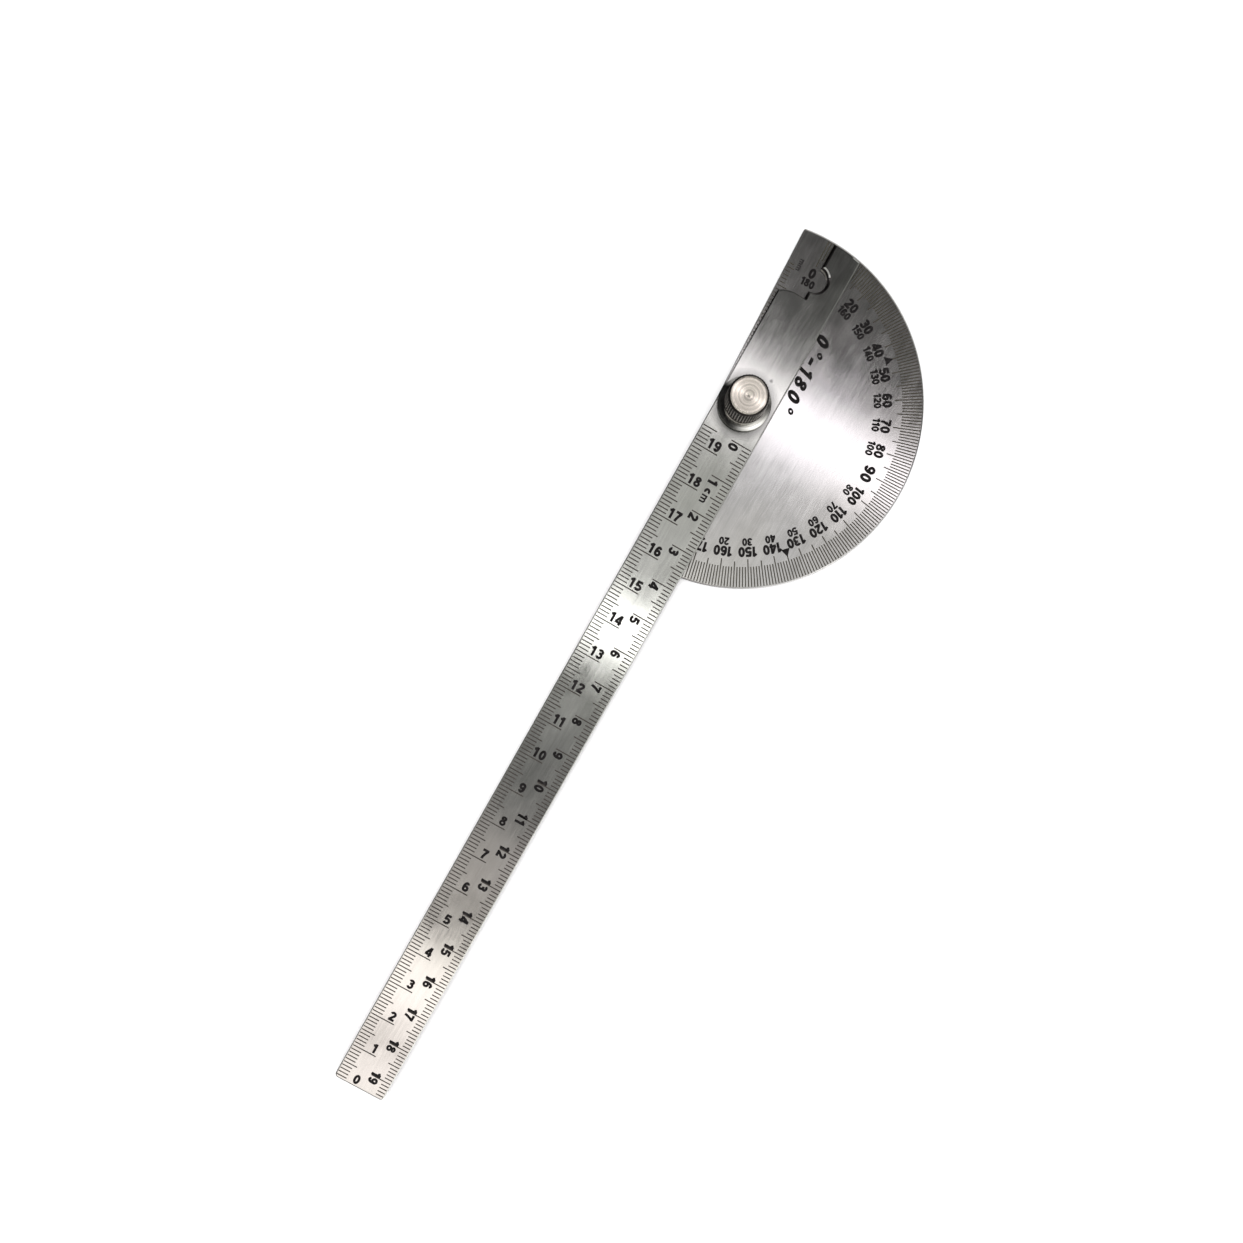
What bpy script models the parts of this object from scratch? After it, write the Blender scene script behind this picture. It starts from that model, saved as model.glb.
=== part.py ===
"""Protractor with a swinging ruled arm, clamped by a knurled knob on a flush pivot stud.

Frame: the pivot axis is Z, the rear face of the head lies on z = 0, and +Z comes out of the
front face. +X runs along the arm to the end of its ruler, and +Y points into the half-round
head. The degree scale runs from 0 near -X, over 90 at +Y, to 180 near +X.
"""
import math

import bmesh
import bpy
from mathutils import Matrix

MM = 0.001                       # the constants below are millimetres and degrees

# --- driving dimensions -----------------------------------------------------------------
PLATE = 1.2                      # thickness of the head and of the arm
REST_GAP = 0.15                  # clearance between faces that lie on each other
BORE_GAP = 0.10                  # radial clearance between a round piece and its bore
EDGE_ROUND = 0.35                # rounded edges of the sheet-metal pieces
READING_ROUND = 0.75             # wider rounding along the upper reading edge of the arm

HEAD_RADIUS = 45.8               # half-round head, about the pivot
HEAD_EDGE = 6.9                  # pivot to the straight edge of the head
HEAD_CORNER = 0.5                # radius of the two corners of the head
REST_READING = 2.0               # degrees that the arm reads at rest

ARM_WIDTH = 14.5
ARM_OFFSET = 0.5                 # the arm's centre line runs this far beside the pivot
RULER_END = 204.2                # pivot to the square end of the ruler
RULER_CORNER = 1.0
TONGUE_INSET = 1.0               # the tongue stops this far inside the rim of the head
WINDOW_X = -29.95                # edge of the reading window that crosses the arm
WINDOW_CURVE = 8.0               # radius of the rest of that edge
WINDOW_BEND = -2.0               # y at which it begins to curve
RECESS_X = -35.1                 # half-round recess in the reading edge, for the numbers
RECESS_RADIUS = 3.1

WASHER = 0.3                     # friction washer between the head and the arm
WASHER_RADIUS = 6.2
THRUST = 0.5                     # thrust washer under the knob
THRUST_RADIUS = 6.1

STUD_HEAD = 0.6                  # flush head, sunk into the rear of the head plate
STUD_HEAD_RADIUS = 4.5
JOURNAL_RADIUS = 2.5
THREAD_RADIUS = 2.0              # M4
STUD_CHAMFER = 0.4
BUSH_WALL = 0.8

SPRING_INNER = 2.9               # wave washer inside the foot of the knob
SPRING_OUTER = 4.2
SPRING_SHEET = 0.3
SPRING_WAVE = 0.25               # half the height of its waves
SPRING_WAVES = 3

KNOB_HEIGHT = 11.0
KNOB_TOP_RADIUS = 4.6            # inside the chamfer of the top
KNOB_GRIP_RADIUS = 5.1           # over the knurl, at the top
KNOB_GRIP_FOOT_RADIUS = 5.2      # over the knurl, at the skirt
KNOB_SKIRT_RADIUS = 5.3          # skirt, at its top
KNOB_FOOT_RADIUS = 6.75
KNOB_SKIRT = 2.6                 # height of the smooth flared skirt
KNOB_FOOT_BAND = 0.4             # short upright band at the foot of the skirt
KNOB_GROOVE = 0.2                # groove between knurl and skirt
KNURL_TEETH = 44
KNURL_DEPTH = 0.28
KNOB_POCKET_RADIUS = 4.6         # pocket for the wave washer
KNOB_BORE_DEPTH = 7.2            # blind threaded bore, above the pocket

ARC_STEP = 2.0                   # degrees between points on large arcs
ROUND_STEPS = 48                 # points around a turned piece

# --- heights, from the rear face up -----------------------------------------------------
HEAD_TOP = PLATE
WASHER_Z = HEAD_TOP + REST_GAP
ARM_Z = WASHER_Z + WASHER + REST_GAP
ARM_TOP = ARM_Z + PLATE
THRUST_Z = ARM_TOP + REST_GAP
KNOB_Z = THRUST_Z + THRUST + REST_GAP
SPRING_Z = KNOB_Z + SPRING_WAVE + SPRING_SHEET / 2
POCKET_TOP = SPRING_Z + SPRING_WAVE + SPRING_SHEET / 2 + REST_GAP
BORE_TOP = POCKET_TOP + KNOB_BORE_DEPTH
STUD_TOP = BORE_TOP - 1.2
JOURNAL_TOP = KNOB_Z


# --- materials --------------------------------------------------------------------------
def metal(name, color, roughness):
    """Bare metal finish."""
    material = bpy.data.materials.new(name)
    material.use_nodes = True
    material.diffuse_color = (*color, 1.0)
    shader = material.node_tree.nodes["Principled BSDF"]
    shader.inputs["Base Color"].default_value = (*color, 1.0)
    shader.inputs["Metallic"].default_value = 1.0
    shader.inputs["Roughness"].default_value = roughness
    return material


# --- outlines ---------------------------------------------------------------------------
def arc(center, radius, start, end, step=ARC_STEP):
    """Points on an arc from start to end degrees, both ends included."""
    count = max(2, math.ceil(abs(end - start) / step))
    angles = [math.radians(start + (end - start) * i / count) for i in range(count + 1)]
    return [(center[0] + radius * math.cos(a), center[1] + radius * math.sin(a)) for a in angles]


def head_outline():
    """Half-round rim, closed by the straight edge, anticlockwise from the right corner."""
    corner_y = -HEAD_EDGE + HEAD_CORNER
    inner = HEAD_RADIUS - HEAD_CORNER
    corner_x = math.sqrt(inner ** 2 - corner_y ** 2)
    rim = math.degrees(math.atan2(corner_y, corner_x))
    points = arc((corner_x, corner_y), HEAD_CORNER, -90, rim, step=20)
    points += arc((0, 0), HEAD_RADIUS, rim, 180 - rim)[1:-1]
    points += arc((-corner_x, corner_y), HEAD_CORNER, 180 - rim, 270, step=20)
    return points


def arm_outline():
    """Ruler, and a half-width tongue that ends on the head's rim, anticlockwise."""
    left, right = ARM_OFFSET - ARM_WIDTH / 2, ARM_OFFSET + ARM_WIDTH / 2
    tip = HEAD_RADIUS - TONGUE_INSET
    tip_angle = 180 - math.degrees(math.asin(right / tip))
    lower, upper = left + RULER_CORNER, right - RULER_CORNER
    end = RULER_END - RULER_CORNER
    points = arc((end, lower), RULER_CORNER, -90, 0, step=15)
    points += arc((end, upper), RULER_CORNER, 0, 90, step=15)
    points += arc((0, 0), tip, tip_angle, 180)
    points.append((RECESS_X - RECESS_RADIUS, 0))
    points += arc((RECESS_X, 0), RECESS_RADIUS, 162, 18, step=9)
    points.append((RECESS_X + RECESS_RADIUS, 0))
    points.append((WINDOW_X, 0))
    turn = math.degrees(math.asin((WINDOW_BEND - left) / WINDOW_CURVE))
    points += arc((WINDOW_X + WINDOW_CURVE, WINDOW_BEND), WINDOW_CURVE, 180, 180 + turn, step=6)
    return points


def on_reading_edge(point):
    """Whether a point of the arm's outline lies on its reading edge, the recess included."""
    recess = math.hypot(point.x - RECESS_X, point.y)
    on_line = abs(point.y) < 0.01 and point.x < WINDOW_X + 0.01
    return on_line or abs(recess - RECESS_RADIUS) < 0.01


# --- mesh tools -------------------------------------------------------------------------
def finish_mesh(name, bm, material, smooth):
    """Turn a bmesh in millimetres into an object in metres."""
    bmesh.ops.scale(bm, vec=(MM, MM, MM), verts=bm.verts)
    mesh = bpy.data.meshes.new(name)
    bm.to_mesh(mesh)
    bm.free()
    if material:
        mesh.materials.append(material)
    obj = bpy.data.objects.new(name, mesh)
    bpy.context.scene.collection.objects.link(obj)
    if smooth:
        mesh.shade_smooth()
        mesh.set_sharp_from_angle(angle=math.radians(35))
    return obj


def sheet(name, outline, bottom, material, wide=None):
    """Sheet-metal piece: an outline, extruded by the plate's thickness, with rounded edges.

    Where wide(point) holds for both ends of an upper edge, that edge gets the wider rounding.
    """
    bm = bmesh.new()
    face = bm.faces.new([bm.verts.new((x, y, bottom)) for x, y in outline])
    extruded = bmesh.ops.extrude_face_region(bm, geom=[face])["geom"]
    raised = [v for v in extruded if isinstance(v, bmesh.types.BMVert)]
    bmesh.ops.translate(bm, vec=(0, 0, PLATE), verts=raised)
    bmesh.ops.recalc_face_normals(bm, faces=bm.faces)
    weight = bm.edges.layers.float.new("bevel_weight_edge")
    upper = set(raised)
    for edge in bm.edges:
        count_above = sum(v in upper for v in edge.verts)
        if count_above == 1:
            continue
        soft = wide is not None and count_above == 2 and all(wide(v.co) for v in edge.verts)
        edge[weight] = 1.0 if soft else EDGE_ROUND / READING_ROUND
    obj = finish_mesh(name, bm, material, smooth=False)
    bevel = obj.modifiers.new("Rounded edges", "BEVEL")
    bevel.width = READING_ROUND * MM
    bevel.segments = 3
    bevel.limit_method = "WEIGHT"
    return obj


def turned(name, profile, material=None, steps=ROUND_STEPS):
    """Turned piece: a profile of (radius, height), from top to bottom on its outer side."""
    bm = bmesh.new()
    verts = [bm.verts.new((r, 0, z)) for r, z in profile]
    for first, second in zip(verts, verts[1:]):
        bm.edges.new((first, second))
    if profile[0][0] > 0:
        bm.edges.new((verts[-1], verts[0]))
    obj = finish_mesh(name, bm, material, smooth=False)
    screw = obj.modifiers.new("Turn", "SCREW")
    screw.axis = "Z"
    screw.steps = screw.render_steps = steps
    screw.use_smooth_shade = True
    screw.use_merge_vertices = True
    screw.merge_threshold = 0.000001
    return obj


def cut(obj, name, profile):
    """Cut a turned hole out of obj."""
    cutter = turned(name, profile)
    cutter.hide_render = True
    cutter.display_type = "WIRE"
    boolean = obj.modifiers.new("Bore", "BOOLEAN")
    boolean.operation = "DIFFERENCE"
    boolean.solver = "EXACT"
    boolean.object = cutter
    return cutter


def tube_profile(inner, outer, bottom, top):
    return [(outer, top), (outer, bottom), (inner, bottom), (inner, top)]


# --- sub-parts --------------------------------------------------------------------------
def make_head_plate(steel):
    """Half-round head, turned to the rest reading, with a stepped hole for the stud."""
    obj = sheet("head_plate", head_outline(), 0, steel)
    obj.rotation_euler = (0, 0, math.radians(REST_READING))
    pocket = STUD_HEAD_RADIUS + BORE_GAP
    hole = JOURNAL_RADIUS + BORE_GAP
    step = STUD_HEAD + REST_GAP
    cutter = cut(obj, "stud_hole", [(0, PLATE + 1), (hole, PLATE + 1), (hole, step),
                                    (pocket, step), (pocket, -1), (0, -1)])
    return obj, cutter


def make_pivot_stud(steel):
    """Flush-head stud: plain journal through head and arm, thread inside the knob."""
    return turned("pivot_stud", [
        (0, STUD_TOP), (THREAD_RADIUS - STUD_CHAMFER, STUD_TOP),
        (THREAD_RADIUS, STUD_TOP - STUD_CHAMFER), (THREAD_RADIUS, JOURNAL_TOP),
        (JOURNAL_RADIUS, JOURNAL_TOP), (JOURNAL_RADIUS, STUD_HEAD),
        (STUD_HEAD_RADIUS, STUD_HEAD), (STUD_HEAD_RADIUS, 0), (0, 0)], steel)


def make_friction_washer(brass):
    inner = JOURNAL_RADIUS + BORE_GAP
    top = WASHER_Z + WASHER
    return turned("friction_washer", tube_profile(inner, WASHER_RADIUS, WASHER_Z, top), brass)


def make_pivot_bush(brass):
    """Sleeve pressed into the arm, running on the stud's journal."""
    inner = JOURNAL_RADIUS + BORE_GAP
    return turned("pivot_bush", tube_profile(inner, inner + BUSH_WALL, ARM_Z, ARM_TOP), brass)


def make_arm_blade(steel):
    """Ruled arm: ruler on one side of the pivot, reading window and tongue on the other."""
    obj = sheet("arm_blade", arm_outline(), ARM_Z, steel, on_reading_edge)
    hole = JOURNAL_RADIUS + BORE_GAP + BUSH_WALL + BORE_GAP
    cutter = cut(obj, "bush_hole", [(0, ARM_TOP + 1), (hole, ARM_TOP + 1),
                                    (hole, ARM_Z - 1), (0, ARM_Z - 1)])
    return obj, cutter


def make_thrust_washer(brass):
    inner = JOURNAL_RADIUS + BORE_GAP
    top = THRUST_Z + THRUST
    return turned("thrust_washer", tube_profile(inner, THRUST_RADIUS, THRUST_Z, top), brass)


def make_wave_washer(spring_steel):
    """Flat ring bent into waves, between the thrust washer and the pocket of the knob."""
    bm = bmesh.new()
    rings = []
    for i in range(ROUND_STEPS):
        angle = math.tau * i / ROUND_STEPS
        height = SPRING_Z + SPRING_WAVE * math.sin(SPRING_WAVES * angle)
        corners = tube_profile(SPRING_INNER, SPRING_OUTER,
                               height - SPRING_SHEET / 2, height + SPRING_SHEET / 2)
        rings.append([bm.verts.new((r * math.cos(angle), r * math.sin(angle), z)) for r, z in corners])
    for ring, following in zip(rings, rings[1:] + rings[:1]):
        for j in range(4):
            k = (j + 1) % 4
            bm.faces.new((ring[j], ring[k], following[k], following[j]))
    bmesh.ops.recalc_face_normals(bm, faces=bm.faces)
    return finish_mesh("wave_washer", bm, spring_steel, smooth=True)


def knob_levels():
    """Rings of the knob as (crest radius, valley radius, height), outside down, inside up."""
    top = KNOB_Z + KNOB_HEIGHT
    skirt_top = KNOB_Z + KNOB_SKIRT
    chamfer = KNOB_GRIP_RADIUS - KNOB_TOP_RADIUS
    groove = KNOB_GRIP_FOOT_RADIUS - KNURL_DEPTH - KNOB_GROOVE
    bore = THREAD_RADIUS + BORE_GAP
    knurled = [(KNOB_GRIP_RADIUS, top - chamfer),
               (KNOB_GRIP_FOOT_RADIUS, skirt_top + 2 * KNOB_GROOVE)]
    smooth_foot = [(groove, skirt_top + KNOB_GROOVE), (groove, skirt_top), *skirt_curve(skirt_top),
                   (KNOB_FOOT_RADIUS, KNOB_Z), (KNOB_POCKET_RADIUS, KNOB_Z),
                   (KNOB_POCKET_RADIUS, POCKET_TOP), (bore, POCKET_TOP), (bore, BORE_TOP)]
    return ([(KNOB_TOP_RADIUS, KNOB_TOP_RADIUS, top)]
            + [(r, r - KNURL_DEPTH, z) for r, z in knurled]
            + [(r, r, z) for r, z in smooth_foot])


def skirt_curve(start_height, count=5):
    """Hollow flare from the skirt's top down to the upright band of its foot."""
    drop = start_height - KNOB_Z - KNOB_FOOT_BAND
    spread = KNOB_FOOT_RADIUS - KNOB_SKIRT_RADIUS
    steps = [i / count for i in range(count + 1)]
    return [(KNOB_SKIRT_RADIUS + spread * (0.3 * t + 0.7 * t * t), start_height - drop * t)
            for t in steps]


def make_lock_knob(steel):
    """Knurled clamp knob with a flared skirt, a blind bore, and a pocket in its foot."""
    count = 2 * KNURL_TEETH
    bm = bmesh.new()
    rings = []
    for crest, valley, z in knob_levels():
        ring = []
        for i in range(count):
            angle = math.tau * i / count
            r = crest if i % 2 == 0 else valley
            ring.append(bm.verts.new((r * math.cos(angle), r * math.sin(angle), z)))
        rings.append(ring)
    for upper, lower in zip(rings, rings[1:]):
        for i in range(count):
            j = (i + 1) % count
            bm.faces.new((upper[i], lower[i], lower[j], upper[j]))
    bm.faces.new(rings[0])
    bm.faces.new(list(reversed(rings[-1])))
    bmesh.ops.recalc_face_normals(bm, faces=bm.faces)
    return finish_mesh("lock_knob", bm, steel, smooth=True)


# --- assembly ---------------------------------------------------------------------------
def joint_empty(name):
    """Empty on the pivot axis that carries the pieces of one moving body."""
    empty = bpy.data.objects.new(name, None)
    empty.empty_display_size = 10 * MM
    bpy.context.scene.collection.objects.link(empty)
    return empty


def attach(parent, children):
    for child in children:
        child.parent = parent
        child.matrix_parent_inverse = Matrix.Identity(4)


def build():
    for obj in list(bpy.data.objects):
        bpy.data.objects.remove(obj, do_unlink=True)

    head_steel = metal("head_steel", (0.60, 0.59, 0.58), 0.34)
    arm_steel = metal("arm_steel", (0.66, 0.65, 0.64), 0.32)
    knob_steel = metal("knob_steel", (0.70, 0.67, 0.62), 0.24)
    stud_steel = metal("stud_steel", (0.55, 0.55, 0.55), 0.35)
    spring_steel = metal("spring_steel", (0.42, 0.42, 0.44), 0.40)
    washer_brass = metal("washer_brass", (0.72, 0.56, 0.27), 0.38)

    attach(joint_empty("head_frame"), [*make_head_plate(head_steel), make_pivot_stud(stud_steel)])
    attach(joint_empty("arm_pivot"), [*make_arm_blade(arm_steel), make_pivot_bush(washer_brass),
                                      make_friction_washer(washer_brass)])
    knob_pivot = joint_empty("knob_pivot")
    attach(knob_pivot, [make_thrust_washer(washer_brass), make_wave_washer(spring_steel),
                        make_lock_knob(knob_steel)])


build()
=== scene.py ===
"""Looks of the protractor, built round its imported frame.

The shared frame is that of part.py: the pivot axis is Z, +X runs along the ruled arm to its end,
+Y points into the half-round head, and the rear of the head lies on z = 0. At rest the arm reads
2 degrees, so the head and everything marked on it is turned by that angle about the pivot.

Brushed sheet steel carries its scales as separate thin marks. The knob and the stud are rebuilt with
their knurl and thread; the other pieces keep their CAD shape and get their own materials. The metal
mirrors a room of its own, and softboxes overhead give the steel its light and dark bands.
"""
import math

import bmesh
import bpy
from mathutils import Matrix, Vector


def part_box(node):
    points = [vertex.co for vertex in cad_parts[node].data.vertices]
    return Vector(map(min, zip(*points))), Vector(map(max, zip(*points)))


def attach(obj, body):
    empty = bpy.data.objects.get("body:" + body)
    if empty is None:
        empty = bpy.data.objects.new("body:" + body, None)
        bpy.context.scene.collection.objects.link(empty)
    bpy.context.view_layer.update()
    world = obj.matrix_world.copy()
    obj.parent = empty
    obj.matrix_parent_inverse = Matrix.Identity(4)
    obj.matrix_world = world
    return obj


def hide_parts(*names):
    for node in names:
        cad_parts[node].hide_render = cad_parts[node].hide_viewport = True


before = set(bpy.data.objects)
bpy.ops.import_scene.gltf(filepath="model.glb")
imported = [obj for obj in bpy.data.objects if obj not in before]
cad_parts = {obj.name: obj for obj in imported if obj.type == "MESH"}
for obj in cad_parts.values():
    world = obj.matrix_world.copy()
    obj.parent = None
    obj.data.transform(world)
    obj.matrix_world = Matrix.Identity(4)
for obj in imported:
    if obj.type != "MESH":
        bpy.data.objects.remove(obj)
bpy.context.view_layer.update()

MM = 0.001                          # lengths below are millimetres, unless they say otherwise

# --- places read from the frame, in millimetres ------------------------------------------
HEAD_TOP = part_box("head_plate")[1].z / MM
ARM_LOW, ARM_HIGH = (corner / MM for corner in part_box("arm_blade"))
KNOB_LOW, KNOB_HIGH = (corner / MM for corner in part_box("lock_knob"))
STUD_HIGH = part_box("pivot_stud")[1] / MM
REST_READING = math.radians(2.0)    # the head's turn about the pivot at rest

# --- marks, in millimetres ---------------------------------------------------------------
MARK_PROUD = 0.012                  # height of the black fill over the steel
MARK_SUNK = 0.03                    # its foot below the surface
EDGE_ROUND = 0.35                   # rounded edge of the sheets, bare of marks
EDGE_GAP = 0.02                     # between the rounding and the marks

# the arm's two scales
LINE = 0.31                         # width of a line
CENTIMETRES = 19
MILLIMETRES = 195
NUMBER_HEIGHT = 2.7
NUMBER_SPACING = 1.25               # over the glyphs' own advance
LEFT_ZERO = ARM_HIGH.x              # the left scale starts at the square end
LEFT_REACHES = (-3.5, -2.5, 0.4)    # y where its 1, 5 and 10 mm lines end
LEFT_GAP = 0.5                      # from a centimetre line to its number
LEFT_NOUGHT = 2.05                  # from the square end to the middle of the zero
LEFT_ROWS = (-1.0, -1.4)            # y of the middles, for one digit and for two
RIGHT_ZERO = 9.1                    # the right scale starts beside the knob
RIGHT_REACHES = (5.2, 4.1, 1.7)     # y where its 1, 5 and 10 mm lines end
RIGHT_ROW = 2.85                    # y of the middles of its numbers
RIGHT_STEPS = (1.3, 0.4)            # from a centimetre line to them, for one digit and for two
UNIT_PLACE = (24.3, RIGHT_ROW + 0.3)
UNIT_HEIGHT = 2.45
UNIT_SPACING = 1.05

# the head's degree scale: radii from the pivot
RING_OUTER = 45.4                   # outer ends of the lines
RING_INNER = 40.3                   # inner ends of the 1, 5 and 10 degree lines
RING_FIVE = 38.95
RING_TEN = 38.4
DEGREE_LINE = 0.29                  # width of a line
OUTER_NUMBERS = 36.5                # middles of the numbers
OUTER_HEIGHT = 2.6
INNER_NUMBERS = 34.0
INNER_HEIGHT = 2.0
MIDDLE_NUMBER = 36.0
MIDDLE_HEIGHT = 3.05
MIDDLE_SPACING = 1.08

# the head's other marks
EDGE_LINE_SPAN = (36, 6.9)          # the edge scale's half length, and the edge's distance
EDGE_LINES = (1.5, 2.0, 2.6)        # lengths of its 1, 5 and 10 mm lines
EDGE_LINE = LINE * 0.8              # their width
EDGE_LINE_SHIFT = 0.2               # of the whole scale toward -X
EDGE_UNIT_PLACE = (-36.9, -3.5)
EDGE_UNIT_HEIGHT = 1.6
RANGE_PLACE = (-14.3, 10.2)
RANGE_HEIGHT = 3.75
RANGE_SPACING = 1.45
RANGE_SLANT = 0.28                  # sideways for each unit up


# --- small tools ------------------------------------------------------------------------
def link(name, bm, materials, scale=MM):
    """Turn a bmesh in millimetres into an object in metres."""
    bmesh.ops.scale(bm, vec=(scale, scale, scale), verts=bm.verts)
    mesh = bpy.data.meshes.new(name)
    bm.to_mesh(mesh)
    bm.free()
    for material in materials:
        mesh.materials.append(material)
    obj = bpy.data.objects.new(name, mesh)
    bpy.context.scene.collection.objects.link(obj)
    return obj


def prism(bm, points, low, high):
    """Closed upright prism over an anticlockwise outline."""
    bottom = [bm.verts.new((x, y, low)) for x, y in points]
    top = [bm.verts.new((x, y, high)) for x, y in points]
    bm.faces.new(top)
    bm.faces.new(list(reversed(bottom)))
    count = len(points)
    for i in range(count):
        j = (i + 1) % count
        bm.faces.new((bottom[i], bottom[j], top[j], top[i]))


def anticlockwise(points):
    """Whether an outline runs anticlockwise."""
    return sum(a[0] * b[1] - b[0] * a[1] for a, b in zip(points, points[1:] + points[:1])) > 0


def bar(bm, start, end, width, surface):
    """Straight mark between two points, filling a shallow groove in the surface."""
    start, end = Vector(start), Vector(end)
    side = (end - start).orthogonal().normalized() * (width / 2)
    outline = [start - side, end - side, end + side, start + side]
    if (end - start).cross(side) < 0:
        outline.reverse()
    prism(bm, outline, surface - MARK_SUNK, surface + MARK_PROUD)


# --- glyphs, drawn as bold strokes in a box one unit high ----------------------------------
STROKE = 0.25
THIN = {"o": 0.14, "8": 0.225, "m": 0.17}                # glyphs that need a thinner stroke
HALF = STROKE / 2
DIGIT_WIDTH = 0.66
MIDDLE = DIGIT_WIDTH / 2
PLAIN_ADVANCE = DIGIT_WIDTH + 0.02                       # from one glyph to the next
ADVANCE = {"1": 0.5, "m": 0.98, "-": 0.54, "o": 0.42}    # where it differs
LAST_WIDTH = {"1": 0.42, "m": 0.88, "o": 0.37}           # of a last glyph that differs
MITRE_LIMIT = 0.6                                        # least cosine at a stroke's corner


def sweep(center, radii, start, end, step=12):
    """Points along an elliptical arc, from start to end degrees."""
    count = max(3, math.ceil(abs(end - start) / step))
    angles = [math.radians(start + (end - start) * i / count) for i in range(count + 1)]
    return [(center[0] + radii[0] * math.cos(a), center[1] + radii[1] * math.sin(a))
            for a in angles]


def loop(center, radii):
    """Points round an ellipse."""
    return sweep(center, radii, 0, 360)[:-1]


def half_turn(strokes):
    """The same strokes turned upside down in the digit's box."""
    return [([(DIGIT_WIDTH - x, 1 - y) for x, y in points], closed) for points, closed in strokes]


def digit_strokes():
    """Each glyph as strokes: (points, closed)."""
    wide, tall = MIDDLE - HALF, 0.5 - HALF
    top, low = 1 - HALF, HALF
    waist = 0.565
    six = [(loop((MIDDLE, 0.33), (wide, 0.33 - HALF)), True),
           (sweep((MIDDLE, 0.5), (wide, tall), 195, 38), False)]
    return {
        "0": [(loop((MIDDLE, 0.5), (wide, tall)), True)],
        "1": [([(0.31, 0), (0.31, 1)], False), ([(0.33, 0.93), (0.03, 0.71)], False)],
        "2": [(sweep((MIDDLE, 0.685), (wide, 0.315 - HALF), 172, -38) + [(0.12, low)], False),
              ([(0.03, low), (DIGIT_WIDTH - 0.02, low)], False)],
        "3": [(sweep((MIDDLE, (top + waist) / 2), (0.2, (top - waist) / 2), 162, -90), False),
              (sweep((MIDDLE, (low + waist) / 2), (wide, (waist - low) / 2), 90, -162), False),
              ([(0.22, waist), (0.38, waist)], False)],
        "4": [([(0.47, 0), (0.47, 1)], False), ([(0, 0.27), (DIGIT_WIDTH, 0.27)], False),
              ([(0.08, 0.29), (0.44, 0.93)], False)],
        "5": [([(0.12, top), (0.6, top)], False), ([(0.18, 0.95), (0.12, 0.44)], False),
              (sweep((0.31, 0.34), (0.245, 0.34 - HALF), 150, -155), False)],
        "6": six,
        "7": [([(0.02, top), (0.64, top)], False),
              ([(0.56, 0.9), (0.38, 0.55), (0.28, 0.25), (0.24, 0)], False)],
        "8": [(loop((MIDDLE, 0.74), (0.18, 0.26 - HALF)), True),
              (loop((MIDDLE, 0.31), (wide, 0.31 - HALF)), True)],
        "9": half_turn(six),
        "c": [(sweep((MIDDLE, 0.33), (wide, 0.33 - HALF), 50, 310), False)],
        "m": [([(0.1, 0), (0.1, 0.64)], False),
              (sweep((0.27, 0.4), (0.17, 0.155), 180, 0) + [(0.44, 0)], False),
              (sweep((0.61, 0.4), (0.17, 0.155), 180, 0) + [(0.78, 0)], False)],
        "-": [([(0.02, 0.42), (0.5, 0.42)], False)],
        "o": [(loop((0.2, 0.78), (0.13, 0.14)), True)],
    }


def stroke_sides(points, closed, width):
    """Points left and right of a stroke, mitred at its corners."""
    points = [Vector(p) for p in points]
    count = len(points)
    left, right = [], []
    for i, point in enumerate(points):
        before = points[i - 1] if i or closed else None
        after = points[(i + 1) % count] if i < count - 1 or closed else None
        ways = [(point - before).normalized()] if before is not None else []
        ways += [(after - point).normalized()] if after is not None else []
        normals = [Vector((-way.y, way.x)) for way in ways]
        middle = sum(normals, Vector((0, 0))).normalized()
        reach = width / 2 / max(MITRE_LIMIT, middle.dot(normals[0]))
        left.append(point + middle * reach)
        right.append(point - middle * reach)
    return left, right


def stroke_solid(points, closed, width):
    """One stroke as a closed prism, one unit thick."""
    left, right = stroke_sides(points, closed, width)
    bm = bmesh.new()
    rows = [[bm.verts.new((p.x, p.y, z)) for p, z in ((a, 1), (b, 1), (b, 0), (a, 0))]
            for a, b in zip(left, right)]
    pairs = list(zip(rows, rows[1:])) + ([(rows[-1], rows[0])] if closed else [])
    for row, following in pairs:
        for j in range(4):
            k = (j + 1) % 4
            bm.faces.new((row[j], row[k], following[k], following[j]))
    if not closed:
        bm.faces.new(rows[0])
        bm.faces.new(list(reversed(rows[-1])))
    bmesh.ops.recalc_face_normals(bm, faces=bm.faces)
    return bm


def join_solids(first, others):
    """Boolean union of overlapping solids, as one clean mesh."""
    for other in others:
        union = first.modifiers.new("Union", "BOOLEAN")
        union.operation = "UNION"
        union.solver = "EXACT"
        union.object = other
    bpy.context.view_layer.update()
    evaluated = first.evaluated_get(bpy.context.evaluated_depsgraph_get())
    mesh = bpy.data.meshes.new_from_object(evaluated)
    for obj in [first, *others]:
        bpy.data.objects.remove(obj, do_unlink=True)
    return mesh


def make_glyphs():
    """One mesh per glyph, one unit high and one unit thick."""
    glyphs = {}
    for sign, strokes in digit_strokes().items():
        width = THIN.get(sign, STROKE)
        solids = [link("stroke", stroke_solid(points, closed, width), [], 1.0)
                  for points, closed in strokes]
        glyphs[sign] = join_solids(solids[0], solids[1:])
    return glyphs


def text_width(text, spacing):
    """Width of a line of glyphs, one unit high."""
    steps = sum(ADVANCE.get(sign, PLAIN_ADVANCE) * spacing for sign in text[:-1])
    return steps + LAST_WIDTH.get(text[-1], DIGIT_WIDTH)


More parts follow.
